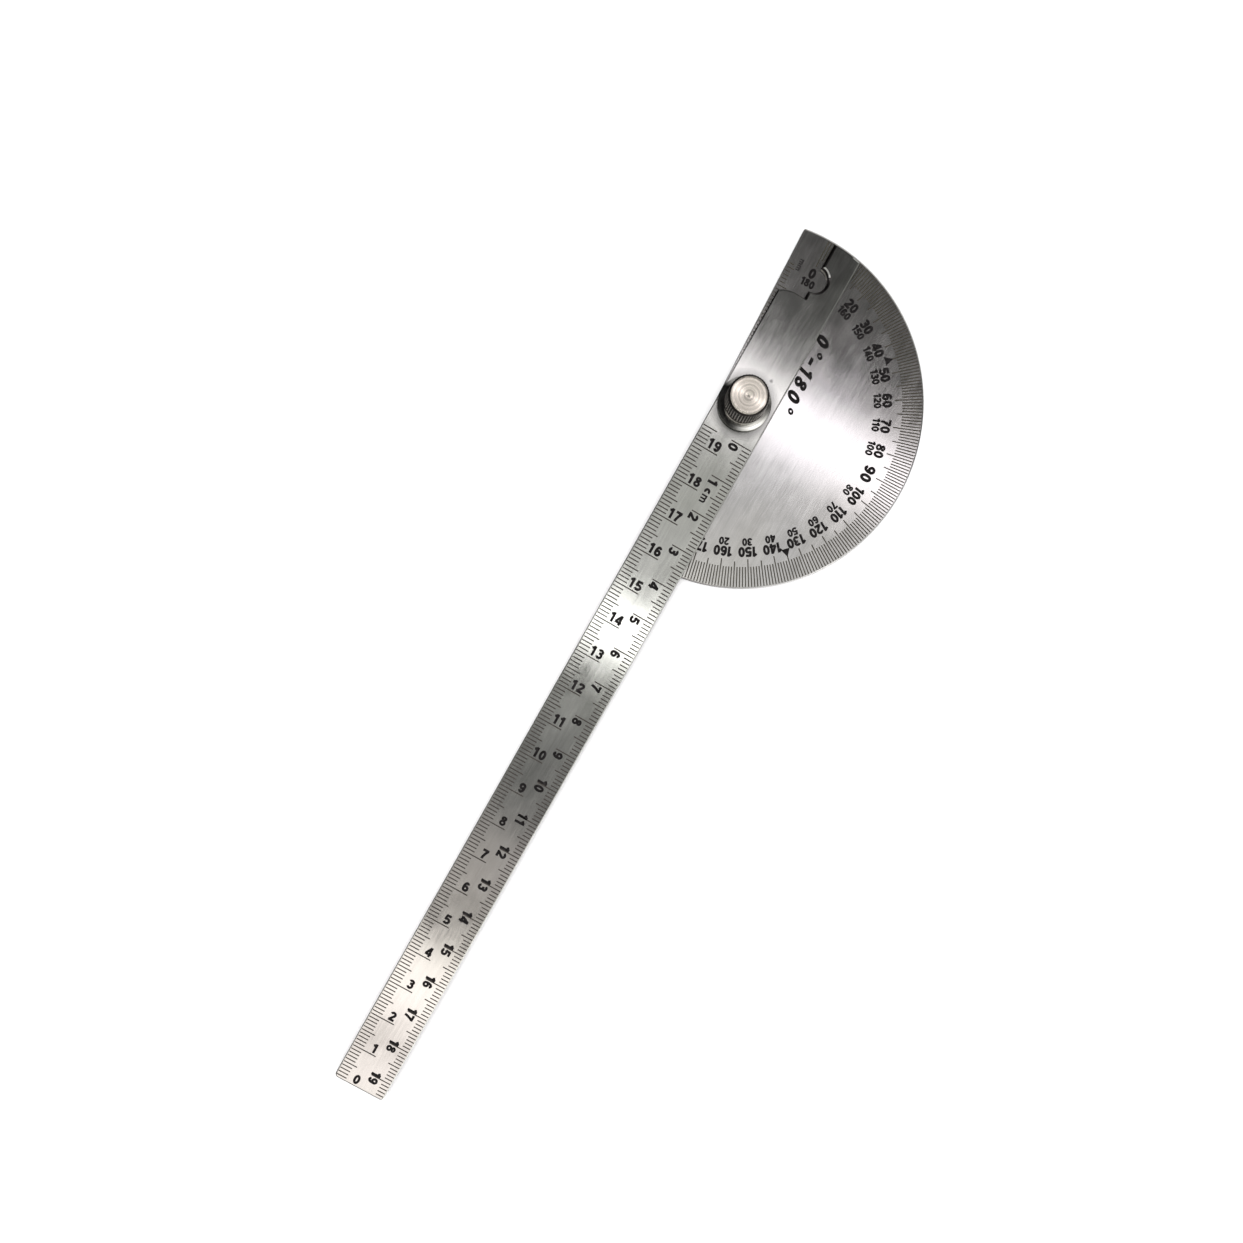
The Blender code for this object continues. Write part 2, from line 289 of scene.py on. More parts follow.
def write(bm, glyphs, text, height, place, surface, spacing=1.0, slant=0.0):
    """Add a line of glyphs: place carries the text's middle, at half height, to the surface."""
    cursor = -text_width(text, spacing) * 0.5
    lean = Matrix.Identity(4)
    lean[0][1] = slant
    size = Matrix.Diagonal((height, height, MARK_PROUD + MARK_SUNK, 1))
    lift = Matrix.Translation((0, 0, surface - MARK_SUNK))
    for sign in text:
        shift = Matrix.Translation((cursor, -0.5, 0))
        copy = glyphs[sign].copy()
        copy.transform(lift @ place @ size @ lean @ shift)
        bm.from_mesh(copy)
        bpy.data.meshes.remove(copy)
        cursor += ADVANCE.get(sign, PLAIN_ADVANCE) * spacing


def at(x, y, turn=0.0):
    """Place and turn, in degrees, on the plate."""
    return Matrix.Translation((x, y, 0)) @ Matrix.Rotation(math.radians(turn), 4, "Z")


# --- materials: places, radii and bump heights in metres ------------------------------------
FLECK_PLACE = (-8.35 * MM, 3.04 * MM, ARM_HIGH.z * MM)   # a small dark fleck on the arm
FLECK_RADII = (0.0002, 0.0006)      # it fades out between these
FLECK_SHARE = 0.75
# painted shadow of the knob: the arm's steel is darkened in a ring round its foot
KNOB_SHADOW_RADII = (0.0066, 0.0092)                      # it fades out between these
KNOB_SHADOW_SPREAD = 0.0003          # unevenness of those radii
KNOB_SHADOW_SHARE = 0.95
READING_EDGE_SHADE = (0.03, 0.028, 0.026)   # colour of the painted shade in the arm's cut edges
READING_EDGE_SHADE_X = (-0.020, -0.012)     # it fades out between these, from the reading line on
READING_EDGE_SHADE_Y = (0.0054, 0.0058)     # and between these, toward the arm's far edge
GLINT_SIDE = (0.87, -0.5, 0)       # facets that face this way are left out of the painted shade, keeping their glint
GLINT_SHARE = (0.88, 0.93)         # how squarely they have to face it
TILTED = (0.97, 0.99)               # |Z| of the normal: tilted off the face below the first
STEEP = (0.75, 0.93)                # |Z| of the normal: steep, and painted dark whichever way it faces, below the first
FLAT = (0.6, 0.98)                  # |Z| of the normal: from cut edge to brushed face
KNURL_RADII = (0.00495, 0.00528)    # grooves dark with grime and painted shade, rubbed crests
INK_WEAR = 0.6                      # share of the fill rubbed off where it is thinnest


class Nodes:
    """Short way to build one material's node tree."""

    def __init__(self, name):
        self.material = bpy.data.materials.new(name)
        self.material.use_nodes = True
        self.tree = self.material.node_tree
        self.shader = self.tree.nodes["Principled BSDF"]
        self.place = self.add("ShaderNodeTexCoord").outputs["Object"]

    def add(self, kind, **settings):
        node = self.tree.nodes.new(kind)
        for key, value in settings.items():
            setattr(node, key, value)
        return node

    def wire(self, source, target):
        self.tree.links.new(source, target)

    def noise(self, scale, detail=2.0, roughness=0.5, offset=(0, 0, 0)):
        """Noise whose cells are 1/scale metres, per axis."""
        mapping = self.add("ShaderNodeMapping")
        mapping.inputs["Scale"].default_value = scale
        mapping.inputs["Location"].default_value = offset
        texture = self.add("ShaderNodeTexNoise")
        texture.inputs["Scale"].default_value = 1.0
        texture.inputs["Detail"].default_value = detail
        texture.inputs["Roughness"].default_value = roughness
        self.wire(self.place, mapping.inputs["Vector"])
        self.wire(mapping.outputs["Vector"], texture.inputs["Vector"])
        return texture.outputs["Fac"]

    def parts(self, vector):
        """X, Y and Z of a vector."""
        split = self.add("ShaderNodeSeparateXYZ")
        self.wire(vector, split.inputs["Vector"])
        return split.outputs

    def radius(self):
        """Distance from the pivot axis, in metres."""
        x, y, _ = self.parts(self.place)
        squares = self.math("ADD", self.math("MULTIPLY", x, x), self.math("MULTIPLY", y, y))
        return self.math("SQRT", squares)

    def span(self, value, low, high, to_low, to_high):
        """Map a value from one range to another, clamped."""
        node = self.add("ShaderNodeMapRange")
        for name, number in (("From Min", low), ("From Max", high),
                             ("To Min", to_low), ("To Max", to_high)):
            node.inputs[name].default_value = number
        self.wire(value, node.inputs["Value"])
        return node.outputs["Result"]

    def math(self, operation, first, second=0):
        """One operation on values or sockets; some take only the first."""
        node = self.add("ShaderNodeMath", operation=operation)
        for socket, value in zip(node.inputs, (first, second)):
            if isinstance(value, (int, float)):
                socket.default_value = value
            else:
                self.wire(value, socket)
        return node.outputs["Value"]

    def ramp(self, value, stops):
        """Colour over a value, from (position, colour) stops."""
        node = self.add("ShaderNodeValToRGB")
        elements = node.color_ramp.elements
        while len(elements) < len(stops):
            elements.new(0.5)
        for element, (position, color) in zip(elements, stops):
            element.position = position
            element.color = (*color, 1)
        self.wire(value, node.inputs["Fac"])
        return node.outputs["Color"]

    def mix(self, factor, first, second, blend="MIX"):
        """Two colours mixed by a number or a socket."""
        node = self.add("ShaderNodeMix", data_type="RGBA", blend_type=blend)
        if isinstance(factor, (int, float)):
            node.inputs["Factor"].default_value = factor
        else:
            self.wire(factor, node.inputs["Factor"])
        for socket, value in ((node.inputs[6], first), (node.inputs[7], second)):
            if isinstance(value, tuple):
                socket.default_value = (*value, 1)
            else:
                self.wire(value, socket)
        return node.outputs[2]

    def bump(self, height, distance, strength, after=None):
        """Normal raised by a height, on top of another bump if one is given."""
        node = self.add("ShaderNodeBump")
        node.inputs["Distance"].default_value = distance
        node.inputs["Strength"].default_value = strength
        self.wire(height, node.inputs["Height"])
        if after is not None:
            self.wire(after, node.inputs["Normal"])
        return node.outputs["Normal"]

    def tangent_along(self, axis):
        """Tangent along an object axis, so that it turns with its body."""
        turn = self.add("ShaderNodeVectorTransform", vector_type="VECTOR",
                        convert_from="OBJECT", convert_to="WORLD")
        turn.inputs["Vector"].default_value = axis
        self.wire(turn.outputs["Vector"], self.shader.inputs["Tangent"])


def scaled(color, share):
    """A share of a colour."""
    return tuple(c * share for c in color)


def knob_grime(m, unevenness):
    """Share of painted shadow on the arm: a dark ring round the foot of the knob."""
    spread = m.span(unevenness, 0.3, 0.7, -KNOB_SHADOW_SPREAD, KNOB_SHADOW_SPREAD)
    return m.span(m.math("ADD", m.radius(), spread), *KNOB_SHADOW_RADII, KNOB_SHADOW_SHARE, 0.0)


def reading_edge_grime(m, facing, level):
    """Share of painted shade in the arm's cut edges round the reading line, save the facets that face
    the glint.

    Facing is the normal, and level how far it points straight up or down."""
    x, y, _ = m.parts(m.place)
    squarely = m.add("ShaderNodeVectorMath", operation="DOT_PRODUCT")
    squarely.inputs[1].default_value = GLINT_SIDE
    m.wire(facing, squarely.inputs[0])
    tilted = m.span(level, *TILTED, 1.0, 0.0)
    across = m.math("SQRT", m.math("SUBTRACT", 1.0, m.math("MULTIPLY", level, level)))
    share = m.math("DIVIDE", squarely.outputs["Value"], across)
    off_glint = m.math("MULTIPLY", tilted, m.span(share, *GLINT_SHARE, 1.0, 0.0))
    steep = m.span(level, *STEEP, 1.0, 0.0)
    near = m.math("MULTIPLY", m.span(x, *READING_EDGE_SHADE_X, 1.0, 0.0), m.span(y, *READING_EDGE_SHADE_Y, 1.0, 0.0))
    return m.math("MULTIPLY", near, m.math("MAXIMUM", off_glint, steep))


def fleck(m):
    """Share of one small dark fleck in the arm, between the knob and the window."""
    away = m.add("ShaderNodeVectorMath", operation="DISTANCE")
    away.inputs[1].default_value = FLECK_PLACE
    m.wire(m.place, away.inputs[0])
    return m.span(away.outputs["Value"], *FLECK_RADII, FLECK_SHARE, 0.0)


def brushed_steel(name, color, tint, roughness, anisotropy, seed, cut, painted_shade_and_fleck=False):
    """Sheet steel brushed along its length, with soft stains and a slight tint.

    Its cut edges mirror only the share cut of what the face does: that darker edge colour is painted
    shade. The arm's material also takes a painted shadow round the knob's foot, one real dark fleck,
    and painted shade in the cut edges round the reading line."""
    m = Nodes(name)
    shift = (seed, seed * 1.7, 0)
    grain = m.noise((150, 3000, 400), 3.0, 0.55, shift)
    streaks = m.noise((45, 1100, 200), 2.0, 0.5, shift)
    stains = m.noise((150, 210, 100), 3.0, 0.5, shift)
    cloud = m.noise((22, 30, 20), 2.0, 0.5, shift)

    value = m.math("ADD", m.span(grain, 0.3, 0.7, -0.05, 0.05),
                   m.span(streaks, 0.3, 0.7, -0.03, 0.03))
    value = m.math("ADD", value, m.span(stains, 0.3, 0.7, -0.06, 0.06))
    shade = m.span(value, -0.2, 0.2, 0.0, 1.0)
    light = tuple(min(1.0, c * 1.2) for c in color)
    base = m.ramp(shade, [(0.0, scaled(color, 0.8)), (0.5, color), (1.0, light)])
    toned = m.mix(m.span(cloud, 0.35, 0.65, 0.0, 1.0), (1, 1, 1), tint)
    toned = m.mix(1.0, base, toned, "MULTIPLY")
    facing = m.add("ShaderNodeTexCoord").outputs["Normal"]
    level = m.math("ABSOLUTE", m.parts(facing)[2])
    # on the arm: painted shadow round the knob, and one real dark fleck
    if painted_shade_and_fleck:
        # painted shadow: a dark ring round the knob's foot
        toned = m.mix(knob_grime(m, stains), toned, scaled(color, 0.4))
        toned = m.mix(fleck(m), toned, scaled(color, 0.3))
    # painted shade: faces that tilt off the flat, the sheets' cut edges, take a darker share of the
    # colour
    surface = m.mix(m.span(level, *FLAT, 0.0, 1.0), scaled(color, cut), toned)
    if painted_shade_and_fleck:
        # painted shade: the cut edges round the reading line are painted near black, save those
        # facing the glint
        surface = m.mix(reading_edge_grime(m, facing, level), surface, READING_EDGE_SHADE)
    m.wire(surface, m.shader.inputs["Base Color"])

    spread = m.math("ADD", m.span(stains, 0.3, 0.7, -0.025, 0.03),
                    m.span(grain, 0.3, 0.7, -0.02, 0.02))
    m.wire(m.math("ADD", spread, roughness), m.shader.inputs["Roughness"])
    low = m.bump(stains, 0.0000012, 0.3)
    m.wire(m.bump(grain, 0.0000005, 0.3, low), m.shader.inputs["Normal"])
    m.shader.inputs["Metallic"].default_value = 1.0
    m.shader.inputs["Anisotropic"].default_value = anisotropy
    m.tangent_along((0, 1, 0))
    return m.material


def turned_metal(name, color, roughness, anisotropy, ring_size, wear=0.06, patch_wear=0.06):
    """Lathe-turned metal: rings about the pivot axis, with uneven polish.

    Wear is the strength of the rings' tone, and patch_wear that of the patches across them."""
    m = Nodes(name)
    line = m.add("ShaderNodeCombineXYZ")
    m.wire(m.math("MULTIPLY", m.radius(), 1.0 / ring_size), line.inputs["X"])
    m.wire(m.math("MULTIPLY", m.parts(m.place)[2], 1.0 / ring_size), line.inputs["Y"])
    rings = m.add("ShaderNodeTexNoise")
    rings.inputs["Scale"].default_value = 1.0
    rings.inputs["Detail"].default_value = 2.0
    rings.inputs["Roughness"].default_value = 0.6
    m.wire(line.outputs["Vector"], rings.inputs["Vector"])
    ring = rings.outputs["Fac"]
    patches = m.noise((260, 260, 260), 3.0)

    value = m.math("ADD", m.span(ring, 0.4, 0.6, -wear, wear),
                   m.span(patches, 0.3, 0.7, -patch_wear, patch_wear))
    shade = m.span(value, -1.2 * wear, 1.2 * wear, 0.0, 1.0)
    light = tuple(min(1.0, c * 1.2) for c in color)
    tone = m.ramp(shade, [(0.0, scaled(color, 0.7)), (0.5, color), (1.0, light)])
    m.wire(tone, m.shader.inputs["Base Color"])
    spread = m.span(patches, 0.3, 0.7, -0.05, 0.05)
    m.wire(m.math("ADD", spread, roughness), m.shader.inputs["Roughness"])
    m.wire(m.bump(ring, 0.0000015, 0.5), m.shader.inputs["Normal"])
    m.shader.inputs["Metallic"].default_value = 1.0
    m.shader.inputs["Anisotropic"].default_value = anisotropy
    m.shader.inputs["Anisotropic Rotation"].default_value = 0.25
    tangent = m.add("ShaderNodeTangent", direction_type="RADIAL", axis="Z")
    m.wire(tangent.outputs["Tangent"], m.shader.inputs["Tangent"])
    return m.material


def knurl_metal(name, color, groove_grime_and_shade):
    """Knurled flank: bright rubbed crests, grooves darkened with grime and painted shade."""
    m = Nodes(name)
    depth = m.span(m.radius(), *KNURL_RADII, 0.0, 1.0)
    spots = m.noise((900, 900, 900), 3.0)
    rub = m.math("MULTIPLY", depth, m.span(spots, 0.3, 0.6, 0.6, 1.0))
    # grooves: grime and painted shade; crests: the rubbed metal
    m.wire(m.mix(rub, groove_grime_and_shade, color), m.shader.inputs["Base Color"])
    m.wire(m.span(rub, 0.0, 1.0, 0.62, 0.3), m.shader.inputs["Roughness"])
    m.wire(m.bump(spots, 0.00001, 0.5), m.shader.inputs["Normal"])
    m.shader.inputs["Metallic"].default_value = 1.0
    return m.material


def scale_ink(name, color, worn):
    """Matt fill of the engraved marks, greyer where it is rubbed thin."""
    m = Nodes(name)
    wear = m.noise((1500, 1500, 1500), 3.0)
    blotch = m.noise((160, 160, 160), 2.0)
    thin = m.math("MULTIPLY", m.span(wear, 0.45, 0.75, 0.0, 1.0),
                  m.span(blotch, 0.4, 0.7, INK_WEAR * 0.25, INK_WEAR))
    m.wire(m.mix(thin, color, worn), m.shader.inputs["Base Color"])
    m.wire(m.span(wear, 0.3, 0.7, 0.5, 0.7), m.shader.inputs["Roughness"])
    m.wire(m.bump(wear, 0.000004, 0.5), m.shader.inputs["Normal"])
    m.shader.inputs["Specular IOR Level"].default_value = 0.1
    return m.material


# --- arm --------------------------------------------------------------------------------
def ruler_lines(name, material, zero, way, edge, inward, reaches, last):
    """Millimetre lines in from one edge; reaches are the far ends of 1, 5 and 10 mm lines."""
    bm = bmesh.new()
    start = edge + inward * (EDGE_ROUND + EDGE_GAP)
    for step in range(last + 1):
        x = zero + way * step
        if x + LINE > ARM_HIGH.x:                        # no line on the square end itself
            continue
        reach = reaches[2] if step % 10 == 0 else reaches[1] if step % 5 == 0 else reaches[0]
        bar(bm, (x, start), (x, reach), LINE, ARM_HIGH.z)
    return link(name, bm, [material])


def make_left_scale(lines, ink, glyphs):
    """Left edge: zero at the square end, numbers read from the right-hand edge."""
    marks = ruler_lines("ruler_left_lines", lines, LEFT_ZERO, -1, ARM_LOW.y, 1,
                        LEFT_REACHES, MILLIMETRES)
    bm = bmesh.new()
    for number in range(CENTIMETRES + 1):
        x = LEFT_ZERO - 10 * number - LEFT_GAP - NUMBER_HEIGHT / 2
        x = x if number else LEFT_ZERO - LEFT_NOUGHT
        place = at(x, LEFT_ROWS[number > 9], 90)
        write(bm, glyphs, str(number), NUMBER_HEIGHT, place, ARM_HIGH.z, NUMBER_SPACING)
    return [marks, link("ruler_left_numbers", bm, [ink])]


def make_right_scale(lines, ink, glyphs):
    """Right edge: zero beside the knob, numbers along the arm, and the unit after the one."""
    marks = ruler_lines("ruler_right_lines", lines, RIGHT_ZERO, 1, ARM_HIGH.y, -1,
                        RIGHT_REACHES, MILLIMETRES - 1)
    bm = bmesh.new()
    for number in range(CENTIMETRES + 1):
        place = at(RIGHT_ZERO + 10 * number + RIGHT_STEPS[number > 9], RIGHT_ROW)
        write(bm, glyphs, str(number), NUMBER_HEIGHT, place, ARM_HIGH.z, NUMBER_SPACING)
    unit = bmesh.new()
    write(unit, glyphs, "cm", UNIT_HEIGHT, at(*UNIT_PLACE), ARM_HIGH.z, UNIT_SPACING)
    return [marks, link("ruler_right_numbers", bm, [ink]), link("ruler_unit", unit, [ink])]


# --- head -------------------------------------------------------------------------------
def on_ring(radius, reading):
    """Point of the head at a radius and a scale reading in degrees."""
    angle = math.radians(180 - reading)
    return radius * math.cos(angle), radius * math.sin(angle)


def make_degree_lines(material):
    """One line for each degree."""
    bm = bmesh.new()
    for reading in range(181):
        inner = RING_TEN if reading % 10 == 0 else RING_FIVE if reading % 5 == 0 else RING_INNER
        bar(bm, on_ring(inner, reading), on_ring(RING_OUTER, reading), DEGREE_LINE, HEAD_TOP)
    return link("degree_lines", bm, [material])


def make_degree_numbers(ink, glyphs):
    """Two rows of numbers that run opposite ways, and a larger one in the middle."""
    outer, inner, middle = bmesh.new(), bmesh.new(), bmesh.new()
    for reading in range(0, 181, 10):
        turn = 90 - reading
        if reading == 90:
            place = at(*on_ring(MIDDLE_NUMBER, reading), turn)
            write(middle, glyphs, "90", MIDDLE_HEIGHT, place, HEAD_TOP, MIDDLE_SPACING)
            continue
        place = at(*on_ring(OUTER_NUMBERS, reading), turn)
        write(outer, glyphs, str(reading), OUTER_HEIGHT, place, HEAD_TOP)
        place = at(*on_ring(INNER_NUMBERS, reading), turn)
        write(inner, glyphs, str(180 - reading), INNER_HEIGHT, place, HEAD_TOP)
    return [link("degree_numbers_outer", outer, [ink]), link("degree_numbers_inner", inner, [ink]),
            link("degree_number_middle", middle, [ink])]


def make_pointers(ink):
    """Solid pointers at 45 and 135 degrees."""
    foot, tip, half_width = 37.4, 39.5, 1.15
    bm = bmesh.new()
    for reading in (45, 135):
        spread = math.degrees(half_width / foot)
        points = [on_ring(foot, reading - spread), on_ring(foot, reading + spread),
                  on_ring(tip, reading)]
        points = points if anticlockwise(points) else points[::-1]
        prism(bm, points, HEAD_TOP - MARK_SUNK, HEAD_TOP + MARK_PROUD)
    return link("diagonal_pointers", bm, [ink])


def make_edge_scale(lines, ink, glyphs):
    """Faint millimetre lines along the head's straight edge, with their unit."""
    half_length, edge = EDGE_LINE_SPAN
    short, half, full = EDGE_LINES
    foot = -edge + EDGE_ROUND + EDGE_GAP
    bm = bmesh.new()
    for step in range(-half_length, half_length + 1):
        x = step - EDGE_LINE_SHIFT
        reach = full if step % 10 == 0 else half if step % 5 == 0 else short
        bar(bm, (x, foot), (x, foot + reach), EDGE_LINE, HEAD_TOP)
    unit = bmesh.new()
    write(unit, glyphs, "mm", EDGE_UNIT_HEIGHT, at(*EDGE_UNIT_PLACE), HEAD_TOP)
    return [link("edge_lines", bm, [lines]), link("edge_unit", unit, [ink])]


def make_range_mark(ink, glyphs):
    """Plain note of the range of the scale, beside the arm."""
    bm = bmesh.new()
    write(bm, glyphs, "0o-180o", RANGE_HEIGHT, at(*RANGE_PLACE), HEAD_TOP, RANGE_SPACING, RANGE_SLANT)
    return link("range_mark", bm, [ink])


# --- knob, in millimetres ---------------------------------------------------------------
KNOB_FACE = 4.5                     # radius of the turned face
FACE_PITCH = 0.25                   # of the turning rings on it
GRIP = 5.1                          # radii of the knurl, at its top and foot
GRIP_FOOT = 5.2
NECK = GRIP_FOOT - 0.45             # radius of the groove under the knurl
SKIRT = 5.3                         # radius of the skirt's top; its foot is the widest ring
SKIRT_TOP = 2.6                     # height above the knob's foot
BAND = 0.4                          # height of the skirt's straight foot
POCKET, POCKET_TOP = 4.6, 0.95      # radius, and height above the foot
BORE, BORE_TOP = 2.1, 8.15
TEETH = 44
TOOTH_STEPS = 6                     # vertices for each tooth
TOOTH_DEPTH = 0.30
KNOB_SHARP = math.radians(32)       # edges bent more than this stay crisp
FACE_FINISH, KNURL_FINISH, SKIRT_FINISH, GROOVE_FINISH = range(4)


def knob_ring(bm, radius, height, depth):
    """Ring of the knob, with teeth of the given depth."""
    ring = []
    for i in range(TEETH * TOOTH_STEPS):
        share = (i % TOOTH_STEPS) / TOOTH_STEPS
        groove = depth * (abs(2 * share - 1) ** 0.8 if depth else 0)
        angle = math.tau * i / (TEETH * TOOTH_STEPS)
        r = radius - groove
        ring.append(bm.verts.new((r * math.cos(angle), r * math.sin(angle), height)))
    return ring


def knob_profile():
    """Rings from the top's middle down the outside, then up the pocket and the bore.

    Each is a radius, a height and the depth of its teeth."""
    top, foot, rim = KNOB_HIGH.z, KNOB_LOW.z, KNOB_HIGH.x
    skirt_top = foot + SKIRT_TOP
    # the lathe's centre mark and the turned face
    rows = [(0.12, top - 0.10, 0), (0.3, top - 0.05, 0), (0.5, top - 0.01, 0)]
    for i in range(int((KNOB_FACE - 0.8) / FACE_PITCH)):
        r = 0.6 + i * FACE_PITCH
        rows += [(r, top - 0.004, 0), (r + FACE_PITCH * 0.7, top - 0.014, 0)]
    # the chamfer, the knurl and the groove under it
    rows += [(KNOB_FACE - 0.06, top, 0), (KNOB_FACE, top - 0.02, 0), (KNOB_FACE + 0.3, top - 0.22, 0),
             (GRIP - 0.12, top - 0.36, 0.10), (GRIP, top - 0.5, 0.22)]
    knurl_top, knurl_foot = top - 0.65, skirt_top + 0.55
    for i in range(5):
        t = i / 4
        rows.append((GRIP + (GRIP_FOOT - GRIP) * t, knurl_top + (knurl_foot - knurl_top) * t,
                     TOOTH_DEPTH))
    rows += [(GRIP_FOOT - 0.05, skirt_top + 0.38, 0.2), (GRIP_FOOT - 0.28, skirt_top + 0.28, 0.02),
             (NECK, skirt_top + 0.2, 0), (NECK, skirt_top + 0.04, 0)]
    # the flared skirt, with its straight foot
    flare, drop = rim - SKIRT, skirt_top - foot - BAND
    for i in range(13):
        t = i / 12
        rows.append((SKIRT + flare * (0.3 * t + 0.7 * t * t) - 0.04 * (i == 0) - 0.02 * (i == 12),
                     skirt_top - drop * t, 0))
    rows += [(rim, foot + BAND - 0.06, 0), (rim, foot + 0.1, 0), (rim - 0.1, foot, 0)]
    # the pocket that takes the washers, and the bore
    pocket_top = foot + POCKET_TOP
    rows += [(POCKET + 0.1, foot, 0), (POCKET, foot + 0.1, 0), (POCKET, pocket_top, 0),
             (BORE + 0.3, pocket_top, 0), (BORE, pocket_top + 0.3, 0), (BORE, foot + BORE_TOP, 0)]
    return rows


def knob_finish(radius, height):
    """Finish of the band that starts at a ring."""
    if height > KNOB_HIGH.z - 0.15 and radius < KNOB_FACE:
        return FACE_FINISH
    above_skirt = height - KNOB_LOW.z - SKIRT_TOP
    if above_skirt > 0.3:
        return KNURL_FINISH
    return GROOVE_FINISH if above_skirt > 0.01 else SKIRT_FINISH


def make_knob(materials):
    """Knurled clamp knob: turned top, straight knurl, polished skirt."""
    rows = knob_profile()
    bm = bmesh.new()
    rings = [knob_ring(bm, *row) for row in rows]
    count = len(rings[0])
    for (radius, height, _), upper, lower in zip(rows, rings, rings[1:]):
        finish = knob_finish(radius, height)
        for i in range(count):
            j = (i + 1) % count
            bm.faces.new((upper[i], lower[i], lower[j], upper[j])).material_index = finish
    bm.faces.new(rings[0])
    bm.faces.new(list(reversed(rings[-1]))).material_index = SKIRT_FINISH
    bmesh.ops.recalc_face_normals(bm, faces=bm.faces)
    obj = link("knurled_knob", bm, materials)
    obj.data.shade_smooth()
    obj.data.set_sharp_from_angle(angle=KNOB_SHARP)
    return obj


# --- stud, in millimetres ---------------------------------------------------------------
STUD_THREAD = 2.0                   # radii
STUD_JOURNAL = 2.5
STUD_HEAD_TOP = 0.6
PITCH = 0.7
THREAD_DEPTH = 0.4
THREAD_CREST = 0.12                 # shares of the half pitch: flat crest, then flank
THREAD_FLANK = 0.64
THREAD_FADE = 0.35                  # height over which it fades in above the journal
THREAD_LEAD = 0.4                   # height of the chamfer at its end
THREAD_STEPS = 40                   # vertices round a ring
TURN_ROWS = 14                      # rings for each turn
STUD_SHARP = math.radians(30)       # edges bent more than this stay crisp


def thread_radius(angle, height, low, high):
    """Radius of the metric thread, faded in at its foot and chamfered at its end."""
    phase = ((height - low) / PITCH - angle / math.tau) % 1.0
    groove = min(1.0, max(0.0, (abs(2 * phase - 1) - THREAD_CREST) / THREAD_FLANK))
    fade = min(1.0, (height - low) / THREAD_FADE)
    lead = max(0.0, height - (high - THREAD_LEAD))
    return min(STUD_THREAD - THREAD_DEPTH * groove * fade, STUD_THREAD - lead)


def make_stud(material):
    """Flush-head stud with its journal and a cut metric thread."""
    low, high = KNOB_LOW.z, STUD_HIGH.z
    rows = int((high - low) / PITCH * TURN_ROWS)
    bm = bmesh.new()
    rings = []

    def ring(radius_of, height):
        angles = [math.tau * i / THREAD_STEPS for i in range(THREAD_STEPS)]
        rings.append([bm.verts.new((radius_of(a) * math.cos(a), radius_of(a) * math.sin(a), height))
                      for a in angles])

    head = STUD_HIGH.x
    for radius, height in ((head - 0.12, 0.0), (head, 0.12), (head, STUD_HEAD_TOP),
                           (STUD_JOURNAL, STUD_HEAD_TOP), (STUD_JOURNAL, low - 0.08),
                           (STUD_JOURNAL - 0.08, low)):          # with small chamfers
        ring(lambda a, r=radius: r, height)
    for i in range(rows + 1):
        height = low + (high - low) * i / rows
        ring(lambda a, z=height: thread_radius(a, z, low, high), height)
    for lower, upper in zip(rings, rings[1:]):
        for i in range(THREAD_STEPS):
            j = (i + 1) % THREAD_STEPS
            bm.faces.new((lower[i], lower[j], upper[j], upper[i]))
    bm.faces.new(list(reversed(rings[0])))
    bm.faces.new(rings[-1])
    bmesh.ops.recalc_face_normals(bm, faces=bm.faces)
    obj = link("threaded_stud", bm, [material])
    obj.data.shade_smooth()
    obj.data.set_sharp_from_angle(angle=STUD_SHARP)
    return obj


# --- assembly ---------------------------------------------------------------------------
def dress(node, material):
    """Give a CAD node its own finish."""
    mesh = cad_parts[node].data
    mesh.materials.clear()
    mesh.materials.append(material)


def dress_sheets_and_washers():
    """Finishes of the CAD pieces that keep their shape."""
    dress("head_plate", brushed_steel(
        "head_brushed_steel", color=(0.74, 0.73, 0.715), tint=(0.98, 0.97, 0.94),
        roughness=0.225, anisotropy=0.75, seed=3.0, cut=0.4))
    dress("arm_blade", brushed_steel(
        "arm_brushed_steel", color=(0.60, 0.60, 0.565), tint=(0.98, 0.99, 0.96),
        roughness=0.205, anisotropy=0.75, seed=11.0, cut=0.7, painted_shade_and_fleck=True))
    brass = turned_metal("washer_brass_turned", color=(0.72, 0.53, 0.25), roughness=0.36,
                         anisotropy=0.5, ring_size=0.00018)
    for node in ("pivot_bush", "friction_washer", "thrust_washer"):
        dress(node, brass)
    dress("wave_washer", turned_metal("spring_steel_blued", color=(0.30, 0.31, 0.34), roughness=0.38,
                                      anisotropy=0.4, ring_size=0.00025))


def knob_materials():
    """In the order of the knob's finishes."""
    return (turned_metal("knob_turned_face", color=(0.65, 0.607, 0.525), roughness=0.24,
                         anisotropy=0.85, ring_size=0.0009, wear=0.16, patch_wear=0.03),
            knurl_metal("knob_knurl", color=(0.95, 0.91, 0.86), groove_grime_and_shade=(0.03, 0.027, 0.025)),
            turned_metal("knob_polished_skirt", color=(0.50, 0.49, 0.465), roughness=0.17,
                         anisotropy=0.3, ring_size=0.0003),
            # the groove under the knurl: grime and painted shade, where it would otherwise mirror the
            # lights overhead
            turned_metal("knob_groove_grime_and_shade", color=(0.07, 0.065, 0.06), roughness=0.5,
                         anisotropy=0.0, ring_size=0.0003))


